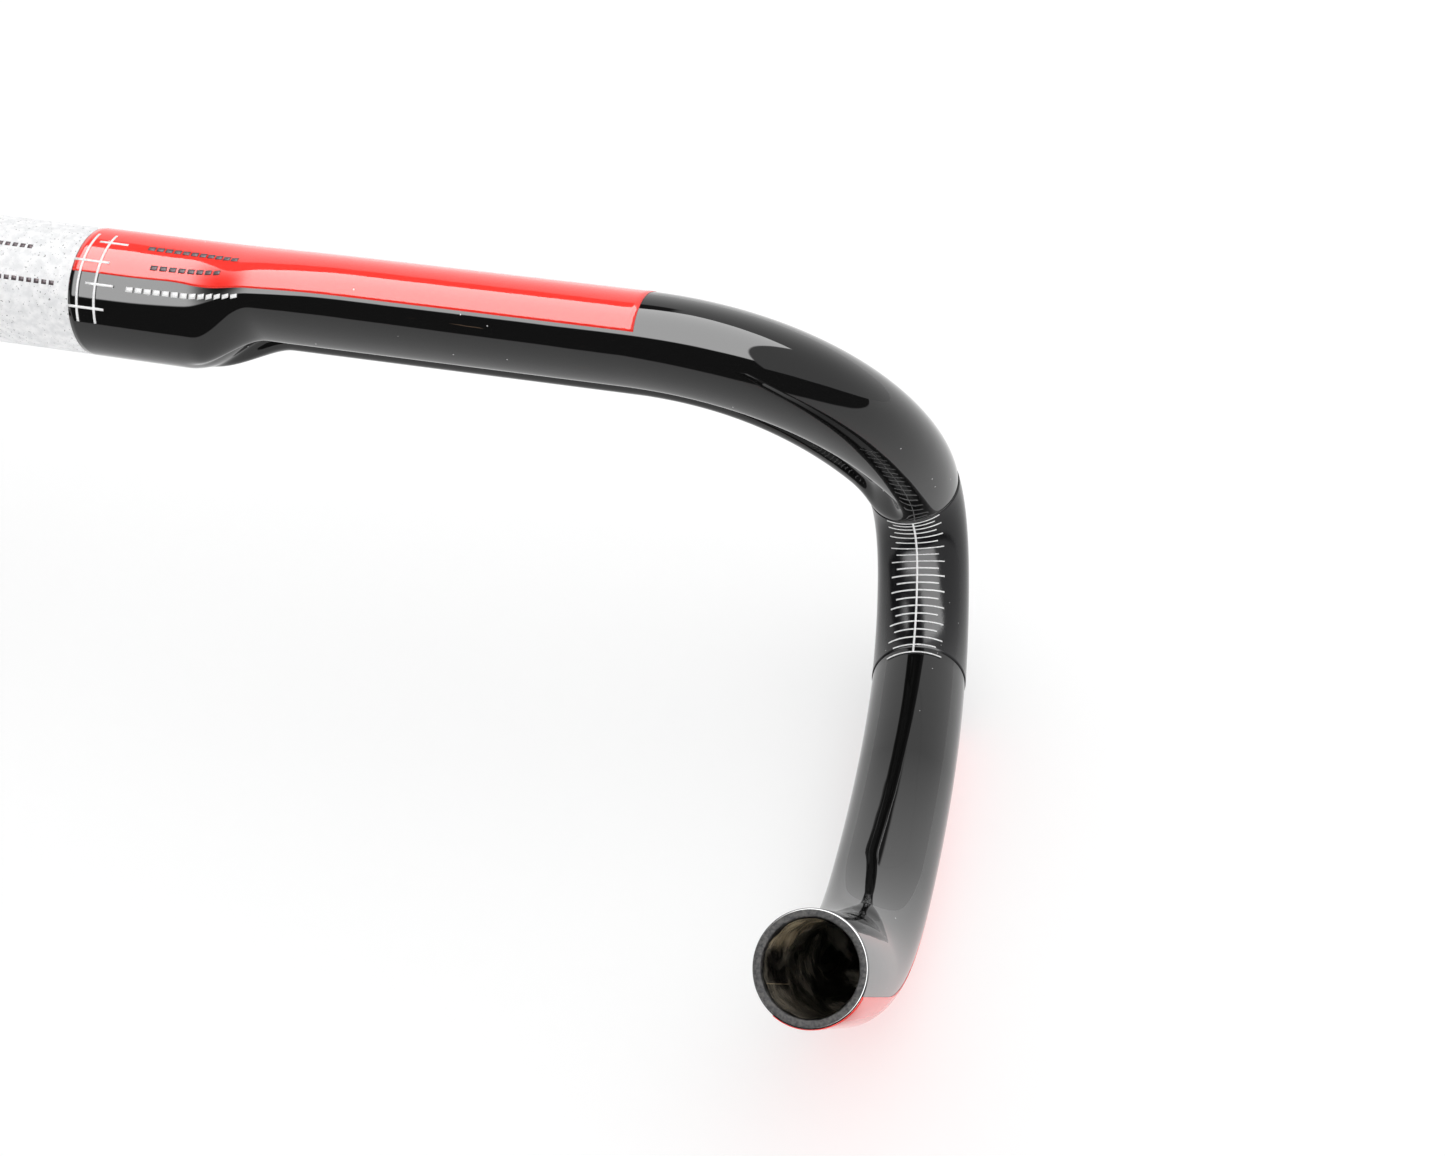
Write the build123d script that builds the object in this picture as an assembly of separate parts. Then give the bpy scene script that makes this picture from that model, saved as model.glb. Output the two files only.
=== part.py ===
from build123d import *
import os
from bisect import bisect_right
from math import cos, radians, sin

# Carbon road drop handlebar, millimetres. +X is the rider's right, +Y forward, +Z up, and the origin is
# the centre of the stem clamp. The bar is drawn with its drops level, as it is ridden, and then turned
# about the clamp axis to the way it lies on a bench, on the flat undersides of its two hooks.
#
# Every piece is a length of one skin. A distance s is measured along the centreline from the middle of
# the bar, and an angle goes round the section: 0 ahead, 90 on top, 180 behind, 270 underneath. Past the
# bend the same angles are 0 inboard, 90 on the outside of the hook, 180 outboard, 270 inside the hook.

REST_PITCH = 45.6  # degrees about X between the ridden pose and the bench pose

# stem clamp zone
CLAMP_RADIUS = 15.9  # 31.8 clamp
COAT_HALF_LENGTH = 20.0  # speckled coat under the stem's faceplate
COAT_RECESS = 0.2

# flattened tops with a cable channel along the underside
STEP_START = 51.3  # the underside steps up between these two distances
STEP_END = 69.0
FLATTEN_START = 33.0  # while the top flattens gently over this longer stretch
FLATTEN_END = 92.0
TOPS_HALF_HEIGHT = 12.1
TOPS_HALF_DEPTH = 20.5
TOPS_TILT = 3.7  # degrees, front edge up
BACK_SWEEP = 1.7  # degrees
CHANNEL_DEPTH = 4.5
CHANNEL_HALF_WIDTH = 4.8
CHANNEL_FORWARD = 2.3  # channel centre ahead of the tube centre
CHANNEL_START = 46.3  # the channel reaches full depth between these two distances
CHANNEL_FULL = 62.6
CHANNEL_FADE = (0.72, 0.92)  # and dies away over this part of the bend

# bend: a Bezier curve from the tops to the seam where the hook is bonded on
BEND_START = 161.7
BEND_HANDLES = (47.4, 9.0)
SEAM = (222.2, 66.2, -6.0)
BEND_SWELL_DEPTH = 1.5  # extra half depth and half height halfway round
BEND_SWELL_HEIGHT = 0.35

# hook: runs of (length, turn in degrees), starting nose down and ending level and rearward
HOOK_RADIUS = 11.9
HOOK_START_PITCH = 25.0
HOOK_RUNS = ((26.0, 65.7), (36.0, 42.5), (69.5, -3.7), (46.5, 50.5), (28.0, 0.0))
HOOK_FLARE = (12.1, -6.3)  # degrees outward at the seam and at the open end

# laminate, bonded joint and moulding film
WALL = 1.85
GAP = 0.1  # clear space between neighbouring pieces
SLEEVE_REACH = (-9.0, 20.0)  # from the seam: back into the bend, on into the hook
SLEEVE_WALL = 1.2
BOND_THICKNESS = 0.12
BLADDER_THICKNESS = 0.12
BLADDER_INSET = 1.2  # trimmed back from the open end

# coats and prints
FILM = 0.08
CLAMP_FILM = (0.02, 0.06)  # underside and top of the print on the clamp coat
PRINT_LIFT = 0.32  # prints lie over the red stripe or the lever coat
STRIPE_START = 20.2
STRIPE_END = 166.0
STRIPE_TOP_ANGLE = 80.0
STRIPE_SPLIT_ANGLES = (175.0, 187.0)  # lower edge on the round zone and on the flattened tops
DROP_STRIPE_ANGLES = (30.0, 132.0)
LEVER_COAT_LENGTH = 58.8
LEVER_COAT_THICKNESS = 0.1

# white grid beside the clamp, for squaring the stem and aerobar clamps
GRID_RINGS = (22.5, 27.1)
GRID_RING_ANGLES = (130.0, 220.0)
GRID_LINES = ((24.3, 31.9, 142.0), (20.2, 29.5, 164.3), (24.5, 32.0, 185.0), (20.2, 29.7, 206.4))
GRID_LINE_WIDTH = 0.6

# plain bars where the maker's notes would be: (start, end, angle at start, angle at end)
NOTE_BARS = ((37.3, 63.6, 143.0, 152.0), (40.2, 60.4, 164.0, 167.5), (35.1, 66.7, 186.0, 197.0))
NOTE_HALF_ANGLE = 3.0
CLAMP_BARS = ((7.8, 157.5), (16.0, 188.8))  # (half length, angle)

# white height scale for setting the levers
SCALE_START = 1.2  # first tick past the seam
SCALE_PITCHES = (1.05, 2.8)  # the pitch opens up down the hook, measured on the surface
SCALE_TICKS = 21
SCALE_ANGLE = 246.0
SCALE_LINE_WIDTH = 0.5
TICK_LENGTHS = (14.4, 11.2)  # alternately long and short

PATH_STEP = 0.5


def ease(t):
    """Smooth ramp from 0 to 1."""
    t = min(max(t, 0.0), 1.0)
    return t * t * (3 - 2 * t)


def blend(a, b, t):
    return a + (b - a) * t


def spans(start, end, step):
    """Evenly spaced values from start to end, about step apart."""
    count = max(1, round((end - start) / step))
    return [blend(start, end, i / count) for i in range(count + 1)]


def heading(yaw, pitch):
    """Unit vector turned yaw degrees from forward to +X and pitch degrees nose down."""
    return Vector(
        sin(radians(yaw)),
        cos(radians(yaw)) * cos(radians(pitch)),
        -cos(radians(yaw)) * sin(radians(pitch)),
    )


def tops_path():
    """Rows of (point, tangent, bend fraction) from the middle of the bar to the start of the bend."""
    point = Vector(0, 0, CLAMP_RADIUS - TOPS_HALF_HEIGHT)
    rows = []
    while point.X < BEND_START:
        sweep = BACK_SWEEP * ease((point.X - CHANNEL_START) / (STEP_END - CHANNEL_START))
        tangent = heading(90 + sweep, 0)
        rows.append((point, tangent, 0.0))
        point = point + tangent * PATH_STEP
    return rows


def bend_path(start, start_tangent, end, end_tangent):
    """The same rows along the Bezier bend."""
    corners = (
        start,
        start + start_tangent * BEND_HANDLES[0],
        end - end_tangent * BEND_HANDLES[1],
        end,
    )
    sides = [b - a for a, b in zip(corners, corners[1:])]
    rows = []
    for t in spans(0.0, 1.0, 0.005):
        point = corners[0] * (1 - t) ** 3 + corners[3] * t**3
        point = point + corners[1] * (3 * t * (1 - t) ** 2) + corners[2] * (3 * t**2 * (1 - t))
        slope = sides[0] * (1 - t) ** 2 + sides[1] * (2 * t * (1 - t)) + sides[2] * t**2
        rows.append((point, slope.normalized(), t))
    return rows


def hook_path(point):
    """The same rows along the hook, from the seam to the open end."""
    total = sum(length for length, _ in HOOK_RUNS)
    pitch = HOOK_START_PITCH
    travelled = 0.0
    rows = []
    for length, turn in HOOK_RUNS:
        steps = round(length / PATH_STEP)
        for _ in range(steps):
            middle = heading(blend(*HOOK_FLARE, (travelled + PATH_STEP / 2) / total), pitch + turn / steps / 2)
            point = point + middle * PATH_STEP
            travelled += PATH_STEP
            pitch += turn / steps
            rows.append((point, heading(blend(*HOOK_FLARE, travelled / total), pitch), 1.0))
    return rows


def right_half():
    """Distances and rows of (point, tangent, bend fraction, depth axis) from the middle to the open end."""
    tops = tops_path()
    bend = bend_path(*tops[-1][:2], Vector(*SEAM), heading(HOOK_FLARE[0], HOOK_START_PITCH))
    path = tops[:-1] + bend + hook_path(Vector(*SEAM))
    depth = Vector(0, cos(radians(TOPS_TILT)), sin(radians(TOPS_TILT)))
    distances = [0.0]
    rows = []
    for i, (point, tangent, fraction) in enumerate(path):
        if i:
            distances.append(distances[-1] + (point - path[i - 1][0]).length)
        depth = (depth - tangent * depth.dot(tangent)).normalized()
        rows.append((point, tangent, fraction, depth))
    return distances, rows


DISTANCES, ROWS = right_half()
SEAM_AT = next(s for s, row in zip(DISTANCES, ROWS) if row[2] == 1.0)
END_AT = DISTANCES[-1]


def row_at(s):
    """The centreline row at distance s, between its two nearest neighbours."""
    i = min(bisect_right(DISTANCES, s), len(ROWS) - 1) - 1
    t = (s - DISTANCES[i]) / (DISTANCES[i + 1] - DISTANCES[i])
    point, tangent, fraction, depth = (blend(a, b, t) for a, b in zip(ROWS[i], ROWS[i + 1]))
    tangent = tangent.normalized()
    depth = (depth - tangent * depth.dot(tangent)).normalized()
    return point, tangent, fraction, depth


def channel_lift(s, fraction, ahead, offset):
    """How far the cable channel raises the underside, ahead of or behind its centre line."""
    fade_start, fade_end = CHANNEL_FADE
    lift = CHANNEL_DEPTH * ease((s - CHANNEL_START) / (CHANNEL_FULL - CHANNEL_START))
    lift *= 1 - ease((fraction - fade_start) / (fade_end - fade_start))
    return lift / (1 + ((ahead - CHANNEL_FORWARD) / (CHANNEL_HALF_WIDTH - min(offset, 0))) ** 6)


def flatness(s, angle):
    """0 on the round zone, 1 on the flattened tops, changing sooner underneath than on top."""
    under = ease((abs(s) - STEP_START) / (STEP_END - STEP_START))
    above = ease((abs(s) - FLATTEN_START) / (FLATTEN_END - FLATTEN_START))
    return blend(under, above, ease((1 + sin(radians(angle))) / 2))


def skin(s, angle, offset=0.0):
    """Point on the right half of the bar, offset outward from its surface."""
    point, tangent, fraction, depth = row_at(abs(s))
    flat = flatness(s, angle)
    turned = ease(fraction)
    swell = 4 * fraction * (1 - fraction)
    half_depth = blend(blend(CLAMP_RADIUS, TOPS_HALF_DEPTH, flat), HOOK_RADIUS, turned)
    half_height = blend(blend(CLAMP_RADIUS, TOPS_HALF_HEIGHT, flat), HOOK_RADIUS, turned)
    ahead = (half_depth + BEND_SWELL_DEPTH * swell + offset) * cos(radians(angle))
    above = (half_height + BEND_SWELL_HEIGHT * swell + offset) * sin(radians(angle))
    if sin(radians(angle)) < 0:
        above += channel_lift(abs(s), fraction, ahead, offset)
    lowered = Vector(0, 0, (CLAMP_RADIUS - TOPS_HALF_HEIGHT) * (1 - flat))
    place = point - lowered + depth * ahead + tangent.cross(depth) * above
    return place if s >= 0 else Vector(-place.X, place.Y, place.Z)


def section(s, offset):
    """Closed outline of the skin at s, with its points closer together over the cable channel."""
    angles = spans(0, 232.5, 7.5) + spans(240, 327, 3) + spans(330, 352.5, 7.5)
    points = [skin(s, angle, offset) for angle in angles]
    return Wire([Edge.make_spline(points, periodic=True, parameters=[a / 360 for a in angles] + [1.0])])


def hoop(s, offset):
    """Circular section of the hook at s."""
    point, tangent, _, depth = row_at(s)
    return Wire([Edge.make_circle(HOOK_RADIUS + offset, Plane(point, x_dir=depth, z_dir=tangent))])


def tube(distances, outer, inner, outline=hoop):
    """Hollow length of the bar between two offsets of its skin: two walls closed by an annulus at each end."""
    walls = [Shell.make_loft([outline(s, offset) for s in distances]) for offset in (outer, inner)]
    ends = [Face(outline(s, outer), [outline(s, inner)]) for s in (distances[0], distances[-1])]
    return Solid(Shell([face for wall in walls for face in wall.faces()] + ends))


def patch(distances, edges, low, high):
    """Thin solid lying on the skin, between the two angles that edges(s) gives."""
    outlines = []
    for s in distances:
        angles = spans(*edges(s), 6)
        over = [skin(s, angle, high) for angle in angles]
        under = [skin(s, angle, low) for angle in reversed(angles)]
        outlines.append(
            Wire(
                [
                    Edge.make_spline(over),
                    Edge.make_line(over[-1], under[0]),
                    Edge.make_spline(under),
                    Edge.make_line(under[-1], over[0]),
                ]
            )
        )
    return Solid.make_loft(outlines)


def wedge(start, end, first, last):
    """Sector of a prism about the X axis, for cutting pieces out of the clamp zone."""
    reach = 2 * CLAMP_RADIUS
    corners = [(0, 0)]
    for angle in spans(first + TOPS_TILT, last + TOPS_TILT, 30):
        corners.append((reach * cos(radians(angle)), reach * sin(radians(angle))))
    face = Face(Wire.make_polygon([Vector(start, y, z) for y, z in corners]))
    return Solid.extrude(face, Vector(end - start, 0, 0))


def clamp_ring(low, high, half_length):
    """Plain ring about the clamp axis."""
    ring = Cylinder(high, 2 * half_length) - Cylinder(low, 2 * half_length)
    return Rot(Y=90) * ring


def shared_distances(start, end):
    """Sections common to the shell and the stripe lying on it, so that the two surfaces stay parallel."""
    return [s for s in spans(0.0, SEAM_AT, 4.04) if start <= s <= end]


def centre_section():
    """Clamp zone, tops and bends in one hollow moulding, recessed for the clamp coat."""
    right = tube(shared_distances(0.0, SEAM_AT), 0.0, -WALL, section)
    whole = right.fuse(right.mirror(Plane.YZ))
    return whole - clamp_ring(CLAMP_RADIUS - COAT_RECESS, CLAMP_RADIUS + 5, COAT_HALF_LENGTH + GAP)


def alignment_marks():
    """Two part rings crossed by four short lines."""
    low = CLAMP_RADIUS + PRINT_LIFT
    half = GRID_LINE_WIDTH / 2
    sweep = 57.3 * half / CLAMP_RADIUS
    cutters = [wedge(x - half, x + half, *GRID_RING_ANGLES) for x in GRID_RINGS]
    for start, end, angle in GRID_LINES:
        cutters.append(wedge(start, end, angle - sweep, angle + sweep))
    return clamp_ring(low, low + FILM, 40) & cutters[0].fuse(*cutters[1:])


def note_bar(start, end, first, last):
    """Plain printed bar on the right half, its angle changing over the step so that it stays straight."""

    def edges(s):
        middle = blend(first, last, flatness(s, last) / flatness(end, last))
        return middle - NOTE_HALF_ANGLE, middle + NOTE_HALF_ANGLE

    return patch(spans(start, end, 3), edges, PRINT_LIFT, PRINT_LIFT + FILM)


def clamp_bar(half_length, angle):
    """Plain printed bar on the clamp coat, thin enough to go under the stem's faceplate."""

    def edges(s):
        return angle - NOTE_HALF_ANGLE, angle + NOTE_HALF_ANGLE

    return patch(spans(-half_length, half_length, 4), edges, CLAMP_FILM[0], CLAMP_FILM[1])


def red_stripe():
    def edges(s):
        return STRIPE_TOP_ANGLE, blend(*STRIPE_SPLIT_ANGLES, ease((s - 45) / 25))

    return patch(shared_distances(STRIPE_START, STRIPE_END), edges, GAP, GAP + FILM)


def tick_distances():
    """Distances of the scale's ticks along the inside of the hook."""
    ticks = [SEAM_AT + SCALE_START]
    s = ticks[0]
    for i in range(SCALE_TICKS - 1):
        left = blend(*SCALE_PITCHES, i / (SCALE_TICKS - 2))
        while left > 0:
            left -= (skin(s + 0.05, SCALE_ANGLE) - skin(s, SCALE_ANGLE)).length
            s += 0.05
        ticks.append(s)
    return ticks


def lever_scale():
    """Centre line crossed by alternating long and short ticks, cut out of one thin patch."""
    ticks = tick_distances()
    base = LEVER_COAT_THICKNESS + PRINT_LIFT
    distances = spans(ticks[0] - 0.8, ticks[-1] + 0.8, 3)
    film = patch(distances, lambda s: (SCALE_ANGLE - 45, SCALE_ANGLE + 45), base, base + FILM)
    sweep = 57.3 * SCALE_LINE_WIDTH / 2 / HOOK_RADIUS
    first_and_last = spans(ticks[0] - 0.2, ticks[-1] + 0.2, 3)
    line = patch(first_and_last, lambda s: (SCALE_ANGLE - sweep, SCALE_ANGLE + sweep), base - 1, base + 1)
    cutters = []
    for i, s in enumerate(ticks):
        point, tangent, _, _ = row_at(s)
        surface = skin(s, SCALE_ANGLE)
        plane = Plane(surface, x_dir=(surface - point).normalized(), z_dir=tangent)
        cutters.append(plane * Box(10, TICK_LENGTHS[i % 2], SCALE_LINE_WIDTH))
    return film & line.fuse(*cutters)


def right_pieces():
    """Pieces of the right half that have a mirror image on the left."""
    coat_end = SEAM_AT + LEVER_COAT_LENGTH
    hook = spans(SEAM_AT + GAP, END_AT, 4)
    coat = spans(SEAM_AT + 2 * GAP, coat_end, 4)
    drop = spans(coat_end + 0.5, END_AT - 0.3, 4)
    film = spans(SEAM_AT + SLEEVE_REACH[1] + 2, END_AT - BLADDER_INSET, 4)
    sleeve = spans(SEAM_AT + SLEEVE_REACH[0], SEAM_AT + SLEEVE_REACH[1], 3)
    lining = -WALL - GAP
    spigot = lining - BOND_THICKNESS - GAP
    return {
        "hook": tube(hook, 0.0, -WALL),
        "joint_adhesive": tube(sleeve, lining, lining - BOND_THICKNESS, section),
        "joint_sleeve": tube(sleeve, spigot, spigot - SLEEVE_WALL, section),
        "bladder_film": tube(film, lining, lining - BLADDER_THICKNESS),
        "lever_coat": tube(coat, GAP + LEVER_COAT_THICKNESS, GAP),
        "lever_scale": lever_scale(),
        "drop_stripe": patch(drop, lambda s: DROP_STRIPE_ANGLES, GAP, GAP + FILM),
        "red_stripe": red_stripe(),
        "alignment_marks": alignment_marks(),
        "note_bar_upper": note_bar(*NOTE_BARS[0]),
        "note_bar_middle": note_bar(*NOTE_BARS[1]),
        "note_bar_lower": note_bar(*NOTE_BARS[2]),
    }


def main():
    pieces = {
        "centre_section": centre_section(),
        "clamp_coat": clamp_ring(CLAMP_RADIUS - COAT_RECESS + GAP, CLAMP_RADIUS, COAT_HALF_LENGTH),
        "clamp_bar_upper": clamp_bar(*CLAMP_BARS[0]),
        "clamp_bar_lower": clamp_bar(*CLAMP_BARS[1]),
    }
    for name, piece in right_pieces().items():
        pieces["right_" + name] = piece
        pieces["left_" + name] = piece.solid().mirror(Plane.YZ)
    os.makedirs("parts", exist_ok=True)
    for name, piece in pieces.items():
        export_step(Rot(X=-REST_PITCH) * piece.solid(), f"parts/{name}.step")


if __name__ == "__main__":
    main()
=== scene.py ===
from bisect import bisect_right
from math import cos, degrees, radians, sin

import bpy
from mathutils import Matrix, Vector


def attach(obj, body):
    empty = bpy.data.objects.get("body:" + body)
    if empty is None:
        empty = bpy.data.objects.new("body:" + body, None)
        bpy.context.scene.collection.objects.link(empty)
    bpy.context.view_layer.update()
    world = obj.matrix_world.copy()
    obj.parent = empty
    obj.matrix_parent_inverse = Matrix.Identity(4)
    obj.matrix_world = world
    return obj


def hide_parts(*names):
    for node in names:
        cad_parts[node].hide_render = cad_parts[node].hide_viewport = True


# Carbon drop handlebar lying on its hooks on a white table. The skin is redrawn from the part's own
# formulas as smooth, fine meshes, because the frame's flat triangles would show in the gloss. Distances
# and section angles run as in the part: s along the centreline, angle round it, both stored on the meshes
# as the attributes "along" (mm) and "round" (degrees).

MM = 0.001
REST_PITCH = 45.6

CLAMP_RADIUS = 15.9
COAT_HALF_LENGTH = 20.0
STEP_START, STEP_END = 51.3, 69.0
FLATTEN_START, FLATTEN_END = 33.0, 92.0
TOPS_HALF_HEIGHT, TOPS_HALF_DEPTH = 12.1, 20.5
TOPS_TILT = 3.7
BACK_SWEEP = 1.7
CHANNEL_DEPTH, CHANNEL_HALF_WIDTH, CHANNEL_FORWARD = 4.5, 4.8, 2.3
CHANNEL_START, CHANNEL_FULL = 46.3, 62.6
CHANNEL_FADE = (0.72, 0.92)
BEND_START = 161.7
BEND_HANDLES = (47.4, 9.0)
SEAM = (222.2, 66.2, -6.0)
BEND_SWELL_DEPTH, BEND_SWELL_HEIGHT = 1.5, 0.35
HOOK_RADIUS = 11.9
HOOK_START_PITCH = 25.0
HOOK_RUNS = ((26.0, 65.7), (36.0, 42.5), (69.5, -3.7), (46.5, 50.5), (28.0, 0.0))
HOOK_FLARE = (12.1, -6.3)
WALL = 1.85

LEVER_COAT_LENGTH = 58.8
STRIPE_START, STRIPE_END = 20.3, 164.24
STRIPE_TOP_ANGLE = 80.0
STRIPE_SPLIT_ANGLES = (175.0, 187.0)
STRIPE_SPLIT_DROP = (45.0, 25.0)  # where the lower edge starts to drop, and over what length
DROP_STRIPE_ANGLES = (30.0, 132.0)
GRID_RINGS = (22.5, 27.1)
GRID_RING_ANGLES = (130.0, 220.0)
GRID_LINES = ((24.3, 31.9, 142.0), (20.2, 29.5, 164.3), (24.5, 32.0, 185.0), (20.2, 29.7, 206.4))
GRID_LINE_WIDTH = 0.6
NOTE_BARS = ((37.3, 63.6, 143.0, 152.0), (40.2, 60.4, 164.0, 167.5), (35.1, 66.7, 186.0, 197.0))
NOTE_DASH_PITCH = 2.4
NOTE_HALF_HEIGHT = 2.2  # degrees
CLAMP_BARS = ((7.8, 157.5), (16.0, 188.8))
CLAMP_DASH_LENGTH, CLAMP_DASH_PITCH = 1.3, 2.1
CLAMP_DASH_HALF_HEIGHT = 2.0  # degrees
SCALE_START, SCALE_PITCHES = 1.2, (1.05, 2.8)
SCALE_TICKS, SCALE_ANGLE = 21, 246.0
SCALE_LINE_WIDTH = 0.5
TICK_LENGTHS = (14.4, 11.2)
PATH_STEP = 0.5

# how far each film's borders and face stand off the laminate
CLAMP_PRINT = (0.0, 0.06)
STRIPE_FILM = (0.02, 0.12)
DROP_STRIPE_FILM = (0.02, 0.15)
GRID_PRINT = (0.15, 0.26)
SCALE_PRINT = (0.2, 0.3)
LEVER_COAT_FACE = 0.2
CLAMP_COAT_DEPTH = 0.2

FINE = 1.2  # distance between rings of the large pieces
PER_RADIAN = 57.3  # degrees

# camera and studio, metres
CAMERA_PLACE = (0.2881, -0.4065, 0.2461)
CAMERA_AZIMUTH, CAMERA_ELEVATION = 14.7, 36.0
CAMERA_LENS = 51.3
FLOOR_HEIGHT = -0.1042
FLOOR_GLOW = 0.55
FLOOR_EDGE = (0.26, -0.165)  # the sheet's near edge: slope, and y at x = 0
SOFTBOX_GLOW = 8.5
DARK_ROOM = 0.07

BLACK = (0.004, 0.004, 0.004)


def ease(t):
    t = min(max(t, 0.0), 1.0)
    return t * t * (3 - 2 * t)


def blend(a, b, t):
    return a + (b - a) * t


def spans(start, end, step):
    """Evenly spaced values from start to end, about step apart."""
    count = max(1, round((end - start) / step))
    return [blend(start, end, i / count) for i in range(count + 1)]


def heading(yaw, pitch):
    """Unit vector turned yaw degrees to the right of ahead and pitch degrees down."""
    return Vector((
        sin(radians(yaw)),
        cos(radians(yaw)) * cos(radians(pitch)),
        -cos(radians(yaw)) * sin(radians(pitch)),
    ))


def tops_path():
    """Rows of (point, tangent, share of the bend) along the nearly straight tops."""
    point = Vector((0, 0, CLAMP_RADIUS - TOPS_HALF_HEIGHT))
    rows = []
    while point.x < BEND_START:
        sweep = BACK_SWEEP * ease((point.x - CHANNEL_START) / (STEP_END - CHANNEL_START))
        rows.append((point, heading(90 + sweep, 0), 0.0))
        point = point + rows[-1][1] * PATH_STEP
    return rows


def bend_path(start, start_tangent, end, end_tangent):
    """Rows along the cubic curve that joins the tops to the hook."""
    corners = (start, start + start_tangent * BEND_HANDLES[0], end - end_tangent * BEND_HANDLES[1], end)
    sides = [b - a for a, b in zip(corners, corners[1:])]
    rows = []
    for t in spans(0.0, 1.0, 0.005):
        point = corners[0] * (1 - t) ** 3 + corners[3] * t**3
        point += corners[1] * (3 * t * (1 - t) ** 2)
        point += corners[2] * (3 * t**2 * (1 - t))
        slope = sides[0] * (1 - t) ** 2 + sides[1] * (2 * t * (1 - t)) + sides[2] * t**2
        rows.append((point, slope.normalized(), t))
    return rows


def hook_path(point):
    """Rows down the hook, its pitch turning through HOOK_RUNS while it flares outwards."""
    total = sum(length for length, _ in HOOK_RUNS)
    pitch = HOOK_START_PITCH
    travelled = 0.0
    rows = []
    for length, turn in HOOK_RUNS:
        steps = round(length / PATH_STEP)
        for _ in range(steps):
            flare = blend(*HOOK_FLARE, (travelled + PATH_STEP / 2) / total)
            middle = heading(flare, pitch + turn / steps / 2)
            point = point + middle * PATH_STEP
            travelled += PATH_STEP
            pitch += turn / steps
            rows.append((point, heading(blend(*HOOK_FLARE, travelled / total), pitch), 1.0))
    return rows


def right_half():
    """The centreline's distances and rows, each row with the direction of the section's depth."""
    tops = tops_path()
    bend = bend_path(*tops[-1][:2], Vector(SEAM), heading(HOOK_FLARE[0], HOOK_START_PITCH))
    path = tops[:-1] + bend + hook_path(Vector(SEAM))
    depth = Vector((0, cos(radians(TOPS_TILT)), sin(radians(TOPS_TILT))))
    distances = [0.0]
    rows = []
    for i, (point, tangent, fraction) in enumerate(path):
        if i:
            distances.append(distances[-1] + (point - path[i - 1][0]).length)
        depth = (depth - tangent * depth.dot(tangent)).normalized()
        rows.append((point, tangent, fraction, depth))
    return distances, rows


DISTANCES, ROWS = right_half()
SEAM_AT = next(s for s, row in zip(DISTANCES, ROWS) if row[2] == 1.0)
END_AT = DISTANCES[-1]
LAY_DOWN = Matrix.Rotation(radians(-REST_PITCH), 3, "X") * MM


def row_at(s):
    """Point, tangent, share of the bend and depth direction at a distance."""
    i = min(bisect_right(DISTANCES, s), len(ROWS) - 1) - 1
    t = (s - DISTANCES[i]) / (DISTANCES[i + 1] - DISTANCES[i])
    point, tangent, fraction, depth = (blend(a, b, t) for a, b in zip(ROWS[i], ROWS[i + 1]))
    tangent = tangent.normalized()
    depth = (depth - tangent * depth.dot(tangent)).normalized()
    return point, tangent, fraction, depth


def channel_lift(s, fraction, ahead, offset):
    """How far the underside is raised into the cable channel."""
    fade_start, fade_end = CHANNEL_FADE
    lift = CHANNEL_DEPTH * ease((s - CHANNEL_START) / (CHANNEL_FULL - CHANNEL_START))
    lift *= 1 - ease((fraction - fade_start) / (fade_end - fade_start))
    return lift / (1 + ((ahead - CHANNEL_FORWARD) / (CHANNEL_HALF_WIDTH - min(offset, 0))) ** 6)


def flatness(s, angle):
    """0 on the round zone, 1 on the flattened tops, changing sooner underneath than on top."""
    under = ease((abs(s) - STEP_START) / (STEP_END - STEP_START))
    above = ease((abs(s) - FLATTEN_START) / (FLATTEN_END - FLATTEN_START))
    return blend(under, above, ease((1 + sin(radians(angle))) / 2))


def skin(s, angle, offset):
    """Point of the skin in the row frame, in metres; negative distances are the left half."""
    point, tangent, fraction, depth = row_at(abs(s))
    flat = flatness(s, angle)
    turned = ease(fraction)
    swell = 4 * fraction * (1 - fraction)
    half_depth = blend(blend(CLAMP_RADIUS, TOPS_HALF_DEPTH, flat), HOOK_RADIUS, turned)
    half_height = blend(blend(CLAMP_RADIUS, TOPS_HALF_HEIGHT, flat), HOOK_RADIUS, turned)
    ahead = (half_depth + BEND_SWELL_DEPTH * swell + offset) * cos(radians(angle))
    above = (half_height + BEND_SWELL_HEIGHT * swell + offset) * sin(radians(angle))
    if sin(radians(angle)) < 0:
        above += channel_lift(abs(s), fraction, ahead, offset)
    lowered = Vector((0, 0, (CLAMP_RADIUS - TOPS_HALF_HEIGHT) * (1 - flat)))
    place = point - lowered + depth * ahead + tangent.cross(depth) * above
    if s < 0:
        place.x = -place.x
    return LAY_DOWN @ place


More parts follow.
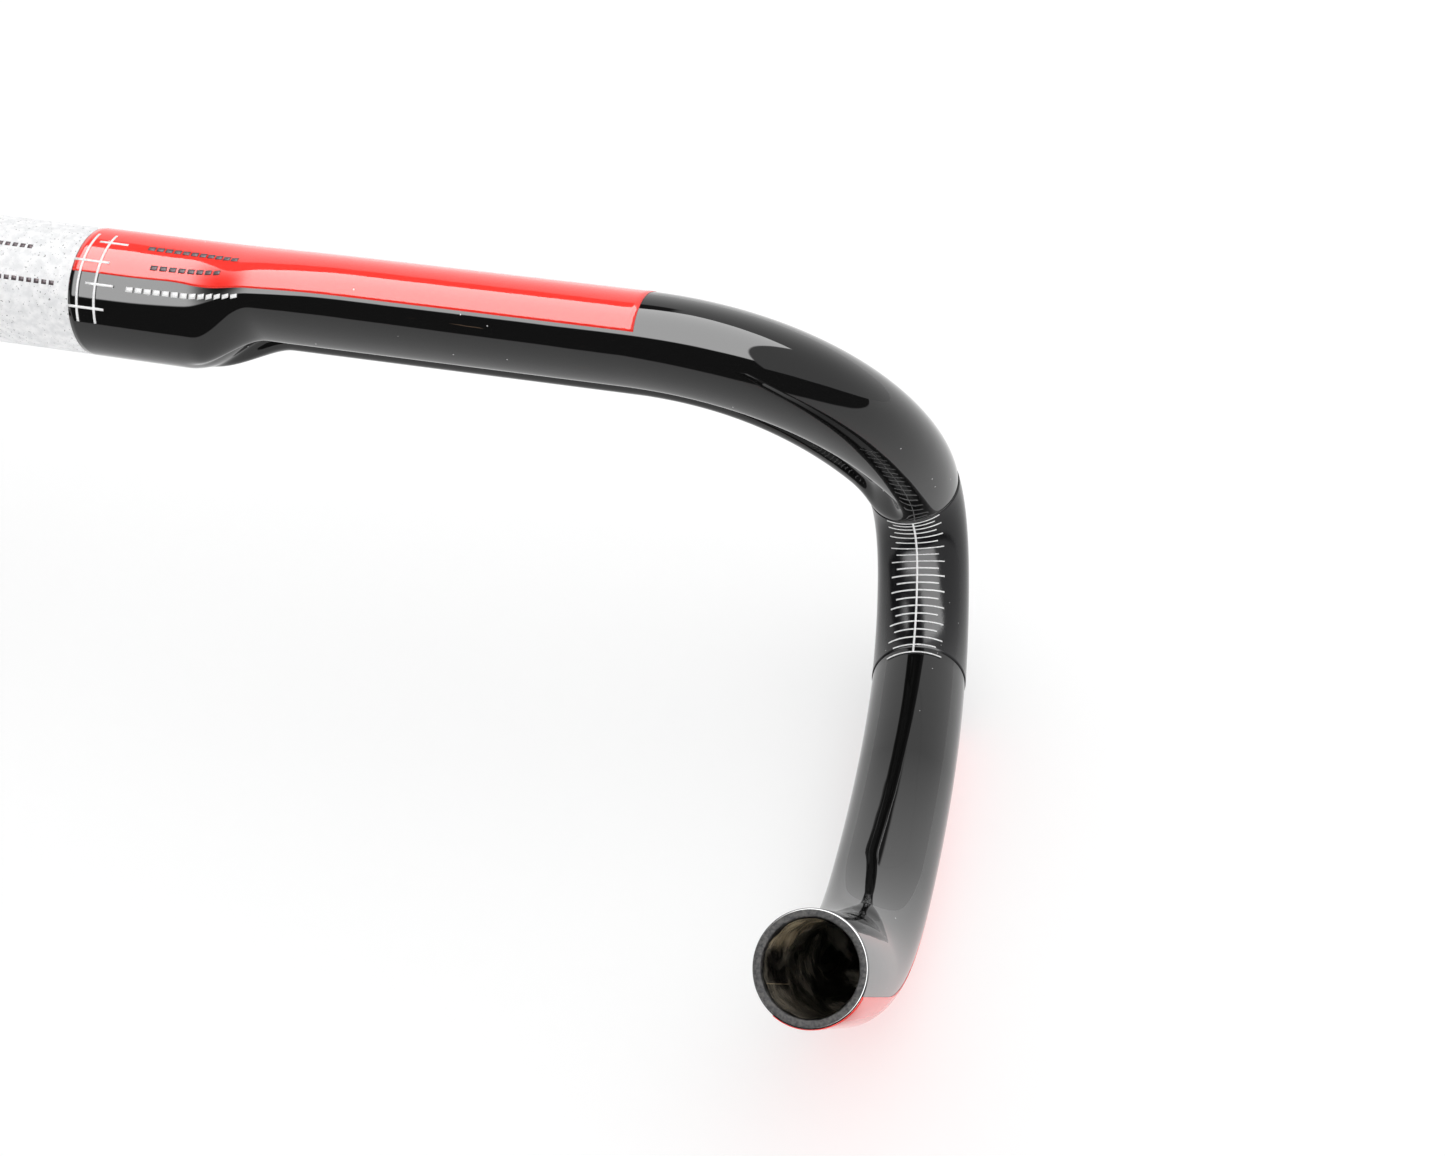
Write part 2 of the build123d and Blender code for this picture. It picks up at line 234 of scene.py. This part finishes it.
def surface(name, sheets, closed=False):
    """Smooth mesh of sheets. A sheet is rows of one length, a row is (distance, angles, offsets)."""
    points, faces, along, round_, inside = [], [], [], [], []
    for sheet in sheets:
        first = len(points)
        count = len(sheet[0][1])
        for s, angles, offsets in sheet:
            points += [skin(s, angle, offset) for angle, offset in zip(angles, offsets)]
            along += [s] * count
            round_ += angles
        for i in range(len(sheet) - 1):
            deep = min(sheet[i][2][0], sheet[i + 1][2][0]) < -0.3
            for j in range(count if closed else count - 1):
                a, b = first + i * count + j, first + i * count + (j + 1) % count
                face = (a, b, b + count, a + count)
                faces.append(face if sheet[-1][0] >= 0 else face[::-1])
                inside.append(int(deep))
    mesh = bpy.data.meshes.new(name)
    mesh.from_pydata(points, [], faces)
    mesh.attributes.new("along", "FLOAT", "POINT").data.foreach_set("value", along)
    mesh.attributes.new("round", "FLOAT", "POINT").data.foreach_set("value", round_)
    mesh.polygons.foreach_set("material_index", inside)
    mesh.shade_smooth()
    piece = bpy.data.objects.new(name, mesh)
    bpy.context.scene.collection.objects.link(piece)
    return piece


def film(distances, edges, stand_off, step=3.0):
    """Sheet of a thin film between the angles edges(s) gives, its borders turned down to the surface."""
    low, high = stand_off
    first, last = edges(distances[0])
    count = max(2, round(abs(last - first) / step))
    rows = []
    for i, s in enumerate([distances[0], *distances, distances[-1]]):
        start, end = edges(s)
        angles = [blend(start, end, j / count) for j in range(count + 1)]
        border = i in (0, len(distances) + 1)
        offsets = [low if border else high] * len(angles)
        rows.append((s, [start, *angles, end], [low, *offsets, low]))
    return rows


def mirrored(sheets):
    """The same sheets on the left half."""
    return [[(-s, angles, offsets) for s, angles, offsets in sheet] for sheet in sheets]


ROUND = spans(0, 232.5, 3.75) + spans(235, 327, 1.5) + spans(330, 356.25, 3.75)


def ring(s, offset):
    return s, ROUND, [offset] * len(ROUND)


def tube(distances, outer, inner, lip=0.3):
    """Sheet of a hollow tube: outside, softened end, inside and back to the start."""
    start, end = distances[0], distances[-1]
    route = [(s, outer(s)) for s in distances[1:-1]]
    route += [(end - lip, outer(end)), (end - lip * 0.3, outer(end) - lip * 0.3), (end, outer(end) - lip)]
    route += [(end, inner + lip), (end - lip * 0.3, inner + lip * 0.3), (end - lip, inner)]
    route += [(s, inner) for s in reversed(distances[1:-1])]
    route += [(start + lip, inner), (start + lip * 0.3, inner + lip * 0.3), (start, inner + lip)]
    route += [(start, outer(start) - lip), (start + lip * 0.3, outer(start) - lip * 0.3)]
    route += [(start + lip, outer(start)), route[0]]
    return [ring(s, offset) for s, offset in route]


# materials -------------------------------------------------------------------------------------------------


def node(tree, kind, inputs=None, **settings):
    """Adds a node, sets its properties, and sets or links its inputs."""
    made = tree.nodes.new("ShaderNode" + kind)
    for key, value in settings.items():
        setattr(made, key, value)
    for key, value in (inputs or {}).items():
        if isinstance(value, bpy.types.NodeSocket):
            tree.links.new(value, made.inputs[key])
        else:
            made.inputs[key].default_value = value
    return made


def material(name, colour, roughness, coat=0.0, specular=0.5):
    """A Principled material, its node tree and its shader."""
    made = bpy.data.materials.new(name)
    made.use_nodes = True
    shader = made.node_tree.nodes["Principled BSDF"]
    shader.inputs["Base Color"].default_value = (*colour, 1)
    shader.inputs["Roughness"].default_value = roughness
    shader.inputs["Specular IOR Level"].default_value = specular
    shader.inputs["Coat Weight"].default_value = coat
    shader.inputs["Coat Roughness"].default_value = 0.03
    return made, made.node_tree, shader


def noise(tree, scale, detail=3.0, stretch=(1, 1, 1)):
    """Noise over the object, its cells about 1 / scale metres across."""
    where = node(tree, "TexCoord").outputs["Object"]
    where = node(tree, "Mapping", {"Vector": where, "Scale": stretch}).outputs["Vector"]
    return node(tree, "TexNoise", {"Vector": where, "Scale": scale, "Detail": detail}).outputs["Fac"]


def ramp(tree, value, low, high):
    """0 below low, 1 above high."""
    made = node(tree, "MapRange", {"Value": value, "From Min": low, "From Max": high})
    made.interpolation_type = "SMOOTHSTEP"
    return made.outputs["Result"]


def mix(tree, share, first, second):
    """Colour between first and second."""
    made = node(tree, "Mix", data_type="RGBA")
    tree.links.new(share, made.inputs["Factor"])
    for index, value in ((6, first), (7, second)):
        if isinstance(value, bpy.types.NodeSocket):
            tree.links.new(value, made.inputs[index])
        else:
            made.inputs[index].default_value = (*value, 1)
    return made.outputs[2]


def multiply(tree, *values):
    result = values[0]
    for value in values[1:]:
        result = node(tree, "Math", {0: result, 1: value}, operation="MULTIPLY").outputs[0]
    return result


def multiply_add(tree, value, factor, added):
    return node(tree, "Math", {0: value, 1: factor, 2: added}, operation="MULTIPLY_ADD").outputs[0]


def larger(tree, first, second):
    return node(tree, "Math", {0: first, 1: second}, operation="MAXIMUM").outputs[0]


def band(tree, name, start, end, soft):
    """1 where the mesh attribute lies between start and end, fading out over soft on either side."""
    value = node(tree, "Attribute", attribute_name=name).outputs["Fac"]
    rise = ramp(tree, value, start - soft, start)
    fall = ramp(tree, value, end + soft, end)
    return multiply(tree, rise, fall)


def bump(tree, shader, height, distance, strength=1.0, target="Normal"):
    made = node(tree, "Bump", {"Height": height, "Distance": distance, "Strength": strength})
    tree.links.new(made.outputs["Normal"], shader.inputs[target])


def dust(tree, scale=300.0):
    """Sparse round specks of dust."""
    where = node(tree, "TexCoord").outputs["Object"]
    cells = node(tree, "TexVoronoi", {"Vector": where, "Scale": scale})
    lot = node(tree, "SeparateColor", {"Color": cells.outputs["Color"]}).outputs[0]
    keep = ramp(tree, lot, 0.8, 0.82)
    return multiply(tree, ramp(tree, cells.outputs["Distance"], 0.07, 0.045), keep)


def map_range(tree, value, source, target):
    """Value moved linearly from one range to another."""
    limits = {"From Min": source[0], "From Max": source[1], "To Min": target[0], "To Max": target[1]}
    return node(tree, "MapRange", {"Value": value, **limits}).outputs["Result"]


def gloss_carbon():
    """Black under deep clear coat, whose shine grows towards the ends of the hooks."""
    made, tree, shader = material("gloss_carbon", BLACK, 0.5, coat=1.0, specular=0.0)
    specks = dust(tree)
    scratch = ramp(tree, noise(tree, 30, 4, (1, 22, 22)), 0.70, 0.74)
    zone = multiply(tree, band(tree, "round", 195, 260, 8), band(tree, "along", 90, 160, 10))
    worn = mix(tree, multiply(tree, scratch, zone), BLACK, (0.09, 0.06, 0.04))
    tree.links.new(mix(tree, specks, worn, (0.55, 0.55, 0.55)), shader.inputs["Base Color"])
    fibres = noise(tree, 900, 2, (0.06, 1, 1))
    tree.links.new(ramp(tree, fibres, 0.2, 0.9), shader.inputs["Roughness"])
    along = node(tree, "Attribute", attribute_name="along").outputs["Fac"]
    distance = node(tree, "Math", {0: along}, operation="ABSOLUTE").outputs[0]
    tree.links.new(map_range(tree, distance, (360, 440), (1.5, 2.6)), shader.inputs["Coat IOR"])
    bump(tree, shader, noise(tree, 45, 2), 0.00012, target="Coat Normal")
    return made


def raw_carbon():
    """Bare laminate of the open ends and the inside."""
    made, tree, shader = material("raw_carbon", (0.03, 0.03, 0.03), 0.5, specular=0.2)
    fleck = ramp(tree, noise(tree, 1300, 5, (1, 1, 1)), 0.35, 0.7)
    tree.links.new(mix(tree, fleck, (0.008, 0.008, 0.009), (0.06, 0.058, 0.056)), shader.inputs["Base Color"])
    bump(tree, shader, noise(tree, 1800, 4), 0.00012)
    return made


def speckled_coat():
    """Pale grey rough coat with fine dark specks."""
    made, tree, shader = material("speckled_coat", (0.85, 0.85, 0.86), 0.55, specular=0.4)
    specks = ramp(tree, noise(tree, 1700, 2), 0.655, 0.70)
    cloud = ramp(tree, noise(tree, 500, 3), 0.3, 0.7)
    pale = mix(tree, cloud, (0.74, 0.745, 0.755), (0.90, 0.90, 0.905))
    tree.links.new(mix(tree, specks, pale, (0.22, 0.22, 0.23)), shader.inputs["Base Color"])
    bump(tree, shader, noise(tree, 2600, 4), 0.00009)
    return made


def satin_black():
    """Grip coat under the brake lever's band."""
    black = (0.006, 0.006, 0.007)
    made, tree, shader = material("satin_black", black, 0.3, specular=0.3)
    grain = noise(tree, 2600, 3)
    tree.links.new(mix(tree, dust(tree, 300), black, (0.3, 0.3, 0.3)), shader.inputs["Base Color"])
    rough = map_range(tree, noise(tree, 120, 3), (0.0, 1.0), (0.12, 0.2))
    tree.links.new(rough, shader.inputs["Roughness"])
    bump(tree, shader, grain, 0.00002)
    return made


def red_film():
    """Coral red under clear coat."""
    made, tree, shader = material("red_film", (0.93, 0.016, 0.006), 0.45, coat=1.0, specular=0.2)
    shader.inputs["Coat Roughness"].default_value = 0.035
    shade = ramp(tree, noise(tree, 700, 3), 0.3, 0.7)
    red = mix(tree, shade, (0.93, 0.016, 0.006), (0.96, 0.020, 0.008))
    tree.links.new(mix(tree, dust(tree, 260), red, (0.9, 0.6, 0.55)), shader.inputs["Base Color"])
    bump(tree, shader, noise(tree, 45, 2), 0.00012, target="Coat Normal")
    return made


def ink(name, colour, worn):
    """Screen print, its edge and density slightly uneven."""
    made, tree, shader = material(name, colour, 0.45)
    thin = ramp(tree, noise(tree, 1500, 4), 0.55, 0.8)
    tree.links.new(mix(tree, thin, colour, worn), shader.inputs["Base Color"])
    bump(tree, shader, noise(tree, 2200, 3), 0.00003)
    return made


def nylon_film():
    """Translucent brown moulding film, with a painted tan highlight at the underside of the mouth."""
    made, tree, shader = material("nylon_film", (0.16, 0.13, 0.1), 0.22, coat=1.0)
    shader.inputs["Coat Roughness"].default_value = 0.08
    patches = ramp(tree, noise(tree, 110, 3), 0.42, 0.6)
    tone = mix(tree, patches, (0.012, 0.011, 0.01), (0.3, 0.27, 0.22))
    # painted highlight: a pale tan patch just inside the mouth's underside stands for light falling into the
    # open end
    painted_tan_highlight = multiply(tree, band(tree, "round", 240, 300, 20), band(tree, "along", 452, 468, 6))
    tree.links.new(mix(tree, painted_tan_highlight, tone, (0.75, 0.62, 0.42)), shader.inputs["Base Color"])
    bump(tree, shader, noise(tree, 260, 5, (1, 1, 0.5)), 0.0012)
    return made


def epoxy():
    """Cured adhesive, out of sight inside the seams."""
    made, tree, shader = material("epoxy", (0.45, 0.4, 0.3), 0.4)
    cloudy = mix(tree, noise(tree, 300), (0.38, 0.33, 0.24), (0.5, 0.45, 0.34))
    tree.links.new(cloudy, shader.inputs["Base Color"])
    return made


# pieces ----------------------------------------------------------------------------------------------------


def constant(low, high):
    """Edges of a film that keeps to the same angles."""
    return lambda s: (low, high)


def centred(angle, length, radius):
    """Edges of a film of this length round the section, centred on an angle."""
    half = PER_RADIAN * length / 2 / radius
    return constant(angle - half, angle + half)


def place(name, slot, sheets, finishes, closed=False):
    """Makes the visual piece that stands for the CAD node of the same name."""
    piece = surface("look_" + name, sheets, closed)
    for finish in finishes:
        piece.data.materials.append(finish)
    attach(piece, "root")
    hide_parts(name)


def scale_ticks():
    """Distances of the scale's ticks, their pitch opening up down the hook."""
    ticks = [SEAM_AT + SCALE_START]
    s = ticks[0]
    for i in range(SCALE_TICKS - 1):
        left = blend(*SCALE_PITCHES, i / (SCALE_TICKS - 2))
        while left > 0:
            left -= (skin(s + 0.05, SCALE_ANGLE, 0) - skin(s, SCALE_ANGLE, 0)).length / MM
            s += 0.05
        ticks.append(s)
    return ticks


def lever_scale():
    """Centre line crossed by alternating long and short ticks."""
    ticks = scale_ticks()
    half = SCALE_LINE_WIDTH / 2
    line = centred(SCALE_ANGLE, SCALE_LINE_WIDTH, HOOK_RADIUS)
    sheets = [film(spans(ticks[0] - 0.2, ticks[-1] + 0.2, 1.5), line, SCALE_PRINT)]
    for i, s in enumerate(ticks):
        across = centred(SCALE_ANGLE, TICK_LENGTHS[i % 2], HOOK_RADIUS)
        sheets.append(film([s - half, s + half], across, SCALE_PRINT))
    return sheets


def alignment_marks():
    """Two rings crossed by four short lines."""
    half = GRID_LINE_WIDTH / 2
    sheets = [film([x - half, x + half], constant(*GRID_RING_ANGLES), GRID_PRINT) for x in GRID_RINGS]
    for start, end, angle in GRID_LINES:
        line = centred(angle, GRID_LINE_WIDTH, CLAMP_RADIUS)
        sheets.append(film(spans(start, end, 1.5), line, GRID_PRINT))
    return sheets


def note_bar(start, end, first, last):
    """Row of plain dashes, their angle changing along the row."""
    sheets = []
    for dash in spans(start, end, NOTE_DASH_PITCH)[:-1]:
        middle = blend(first, last, flatness(dash, last) / flatness(end, last))
        edges = constant(middle - NOTE_HALF_HEIGHT, middle + NOTE_HALF_HEIGHT)
        sheets.append(film(spans(dash + 0.3, dash + 2.1, 0.6), edges, GRID_PRINT))
    return sheets


def clamp_bar(half_length, angle):
    """Row of plain dashes on the clamp coat, the same on both halves."""
    edges = constant(angle - CLAMP_DASH_HALF_HEIGHT, angle + CLAMP_DASH_HALF_HEIGHT)
    starts = spans(-half_length, half_length - CLAMP_DASH_LENGTH, CLAMP_DASH_PITCH)
    return [film([x, x + CLAMP_DASH_LENGTH], edges, CLAMP_PRINT) for x in starts]


def stripe_edges(s):
    """Edges of the red stripe, the lower one dropping as the tops flatten."""
    start, length = STRIPE_SPLIT_DROP
    return STRIPE_TOP_ANGLE, blend(*STRIPE_SPLIT_ANGLES, ease((s - start) / length))


def shell_offset(s):
    """The shell is recessed under the clamp coat."""
    return -CLAMP_COAT_DEPTH if abs(s) < COAT_HALF_LENGTH + 0.1 else 0.0


def wrinkled(distances):
    """Lining of the open end, gathered in shallow folds."""
    rows = []
    for s in distances:
        offsets = []
        for angle in ROUND:
            fold = sin(radians(5 * angle + 14 * s)) * sin(radians(3 * angle - 9 * s))
            offsets.append(-WALL - 0.15 - 0.35 * fold * fold)
        rows.append((s, ROUND, offsets))
    return rows


def centre_shell():
    """Hollow shell from seam to seam."""
    clamp_edge = COAT_HALF_LENGTH + 0.1
    half = spans(clamp_edge, SEAM_AT, FINE)
    clamp = spans(-clamp_edge + 0.05, clamp_edge - 0.05, 2)
    return tube([-s for s in reversed(half)] + clamp + half, shell_offset, -WALL)


def clamp_coat():
    """Coat round the clamp zone, its edges slightly softened."""
    end = COAT_HALF_LENGTH
    edge = [(end - 0.1, 0), (end, -0.03), (end, -CLAMP_COAT_DEPTH)]
    start = [(-s, offset) for s, offset in reversed(edge)]
    route = start + [(s, 0) for s in spans(1 - end, end - 1, 1)] + edge
    return [ring(s, offset) for s, offset in route]


def lever_coat(end):
    """Coat from the seam to end, its edges turned down to the laminate."""
    face = LEVER_COAT_FACE
    route = [(SEAM_AT + 0.2, 0.05), (SEAM_AT + 0.3, face)]
    route += [(s, face) for s in spans(SEAM_AT + 1, end - 1, FINE)]
    route += [(end - 0.1, face), (end, 0.05)]
    return [ring(s, offset) for s, offset in route]


def side_pieces():
    """Slot, sheets and whether the sheets close round the bar, of each piece that both halves have."""
    coat_end = SEAM_AT + LEVER_COAT_LENGTH
    stripe = film(spans(STRIPE_START, STRIPE_END, FINE), stripe_edges, STRIPE_FILM)
    drop_rings = spans(coat_end + 0.5, END_AT - 0.1, FINE)
    drop_stripe = film(drop_rings, constant(*DROP_STRIPE_ANGLES), DROP_STRIPE_FILM)
    hook = tube(spans(SEAM_AT + 0.1, END_AT, FINE), lambda s: 0.0, -WALL)
    lining = wrinkled(spans(SEAM_AT + 22, END_AT - 1.2, 0.8))
    return {
        "hook": ("gloss_carbon", [hook], True),
        "lever_coat": ("satin_black", [lever_coat(coat_end)], True),
        "lever_scale": ("white_print", lever_scale(), False),
        "drop_stripe": ("red_film", [drop_stripe], False),
        "red_stripe": ("red_film", [stripe], False),
        "alignment_marks": ("white_print", alignment_marks(), False),
        "note_bar_upper": ("dark_print", note_bar(*NOTE_BARS[0]), False),
        "note_bar_middle": ("dark_print", note_bar(*NOTE_BARS[1]), False),
        "note_bar_lower": ("white_print", note_bar(*NOTE_BARS[2]), False),
        "bladder_film": ("nylon_film", [lining], True),
    }


def dress(finishes):
    """Places every visible piece."""
    carbon = [finishes["gloss_carbon"], finishes["raw_carbon"]]
    place("centre_section", "gloss_carbon", [centre_shell()], carbon, True)
    place("clamp_coat", "speckled_coat", [clamp_coat()], [finishes["speckled_coat"]], True)
    for name, (half_length, angle) in zip(("clamp_bar_upper", "clamp_bar_lower"), CLAMP_BARS):
        place(name, "dark_print", clamp_bar(half_length, angle), [finishes["dark_print"]])
    for name, (slot, sheets, closed) in side_pieces().items():
        looks = carbon if name == "hook" else [finishes[slot]]
        place("right_" + name, slot, sheets, looks, closed)
        place("left_" + name, slot, mirrored(sheets), looks, closed)


def finish_joints(frame, finishes):
    """The adhesive and sleeves inside the seams keep the frame's own meshes."""
    for name, finish in (("joint_adhesive", "epoxy"), ("joint_sleeve", "raw_carbon")):
        for side in ("right_", "left_"):
            hidden = frame["nodes"][side + name]
            hidden.data.materials.clear()
            hidden.data.materials.append(finishes[finish])


# studio ----------------------------------------------------------------------------------------------------


def mirror_room(tree, turn, sideways):
    """What the gloss sees: a white sweep ahead, an overhead softbox, and a dark room behind the camera.

    turn is the direction in degrees about the bar's axis, 0 ahead and 90 up, sideways its x part."""
    ahead = multiply(tree, ramp(tree, turn, -62, -60), ramp(tree, turn, 44, 42))
    right = ramp(tree, sideways, -0.14, -0.06)
    gap = multiply(tree, right, ramp(tree, turn, 41, 43), ramp(tree, turn, 57, 54))
    walls = ramp(tree, sideways, 0.60, 0.62)
    left = node(tree, "Math", {0: sideways, 1: 0.0}, operation="MINIMUM").outputs[0]
    edge = multiply_add(tree, left, 20.0, turn)
    softbox = multiply(
        tree,
        ramp(tree, edge, 53.5, 55),
        ramp(tree, turn, 164, 161),
        ramp(tree, sideways, -0.85, -0.5),
        ramp(tree, sideways, 0.62, 0.60),
    )
    white = larger(tree, larger(tree, ahead, gap), walls)
    return larger(tree, multiply_add(tree, softbox, SOFTBOX_GLOW, white), DARK_ROOM)


def room():
    """Light by direction: softly from above on everything dull, sharply drawn in the gloss."""
    world = bpy.data.worlds.new("room")
    bpy.context.scene.world = world
    world.use_nodes = True
    tree = world.node_tree
    direction = node(tree, "SeparateXYZ", {0: node(tree, "TexCoord").outputs["Generated"]})
    rise = {0: direction.outputs["Z"], 1: direction.outputs["Y"]}
    turn = node(tree, "Math", rise, operation="ARCTAN2").outputs[0]
    turn = multiply(tree, turn, degrees(1))
    overhead = ramp(tree, direction.outputs["Z"], -0.1, 0.9)
    dull = map_range(tree, overhead, (0.0, 1.0), (0.5, 1.2))
    path = node(tree, "LightPath")
    mirrored_light = mirror_room(tree, turn, direction.outputs["X"])
    level = mix(tree, path.outputs["Is Glossy Ray"], dull, mirrored_light)
    level = mix(tree, path.outputs["Is Camera Ray"], level, (1, 1, 1))
    tree.links.new(level, tree.nodes["Background"].inputs["Color"])


def floor():
    """Pale sheet, seen in the gloss only as far as its near edge."""
    pale, tree, shader = material("floor", (0.45, 0.45, 0.45), 0.8, specular=0.1)
    cloudy = mix(tree, noise(tree, 200), (0.44, 0.44, 0.44), (0.46, 0.46, 0.46))
    tree.links.new(cloudy, shader.inputs["Base Color"])
    shader.inputs["Emission Color"].default_value = (1, 1, 1, 1)
    shader.inputs["Emission Strength"].default_value = FLOOR_GLOW
    where = node(tree, "SeparateXYZ", {0: node(tree, "TexCoord").outputs["Object"]})
    slope, level = FLOOR_EDGE
    edge = multiply_add(tree, where.outputs["X"], -slope, where.outputs["Y"])
    beyond = ramp(tree, edge, level, level - 0.01)
    hidden = multiply(tree, beyond, node(tree, "LightPath").outputs["Is Glossy Ray"])
    dark = node(tree, "Emission", {"Strength": DARK_ROOM})
    shown = node(tree, "MixShader", {0: hidden, 1: shader.outputs[0], 2: dark.outputs[0]})
    tree.links.new(shown.outputs[0], tree.nodes["Material Output"].inputs["Surface"])
    mesh = bpy.data.meshes.new("floor")
    z = FLOOR_HEIGHT
    mesh.from_pydata([(-4, -3, z), (4, -3, z), (4, 4, z), (-4, 4, z)], [], [(0, 1, 2, 3)])
    mesh.materials.append(pale)
    sheet = bpy.data.objects.new("floor", mesh)
    bpy.context.scene.collection.objects.link(sheet)


def camera():
    """Looks at the right half from behind, above and a little to the right."""
    bpy.context.scene.view_settings.view_transform = "Standard"
    data = bpy.data.cameras.new("camera")
    data.lens = CAMERA_LENS
    made = bpy.data.objects.new("camera", data)
    bpy.context.scene.collection.objects.link(made)
    turn, lift = radians(CAMERA_AZIMUTH), radians(CAMERA_ELEVATION)
    back = Vector((sin(turn) * cos(lift), -cos(turn) * cos(lift), sin(lift)))
    made.location = CAMERA_PLACE
    made.rotation_euler = (-back).to_track_quat("-Z", "Y").to_euler()
    bpy.context.scene.camera = made


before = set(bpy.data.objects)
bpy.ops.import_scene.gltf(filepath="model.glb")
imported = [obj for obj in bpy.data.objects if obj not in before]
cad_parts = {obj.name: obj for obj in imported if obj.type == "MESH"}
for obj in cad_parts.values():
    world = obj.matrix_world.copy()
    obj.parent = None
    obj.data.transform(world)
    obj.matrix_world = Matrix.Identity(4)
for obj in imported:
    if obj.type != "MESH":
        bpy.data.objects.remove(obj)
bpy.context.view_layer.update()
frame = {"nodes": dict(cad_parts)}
finishes = {
    "gloss_carbon": gloss_carbon(),
    "raw_carbon": raw_carbon(),
    "speckled_coat": speckled_coat(),
    "satin_black": satin_black(),
    "red_film": red_film(),
    "white_print": ink("white_print", (0.88, 0.88, 0.88), (0.62, 0.62, 0.62)),
    "dark_print": ink("dark_print", (0.05, 0.035, 0.04), (0.16, 0.07, 0.07)),
    "nylon_film": nylon_film(),
    "epoxy": epoxy(),
}
finish_joints(frame, finishes)
dress(finishes)
room()
floor()
camera()
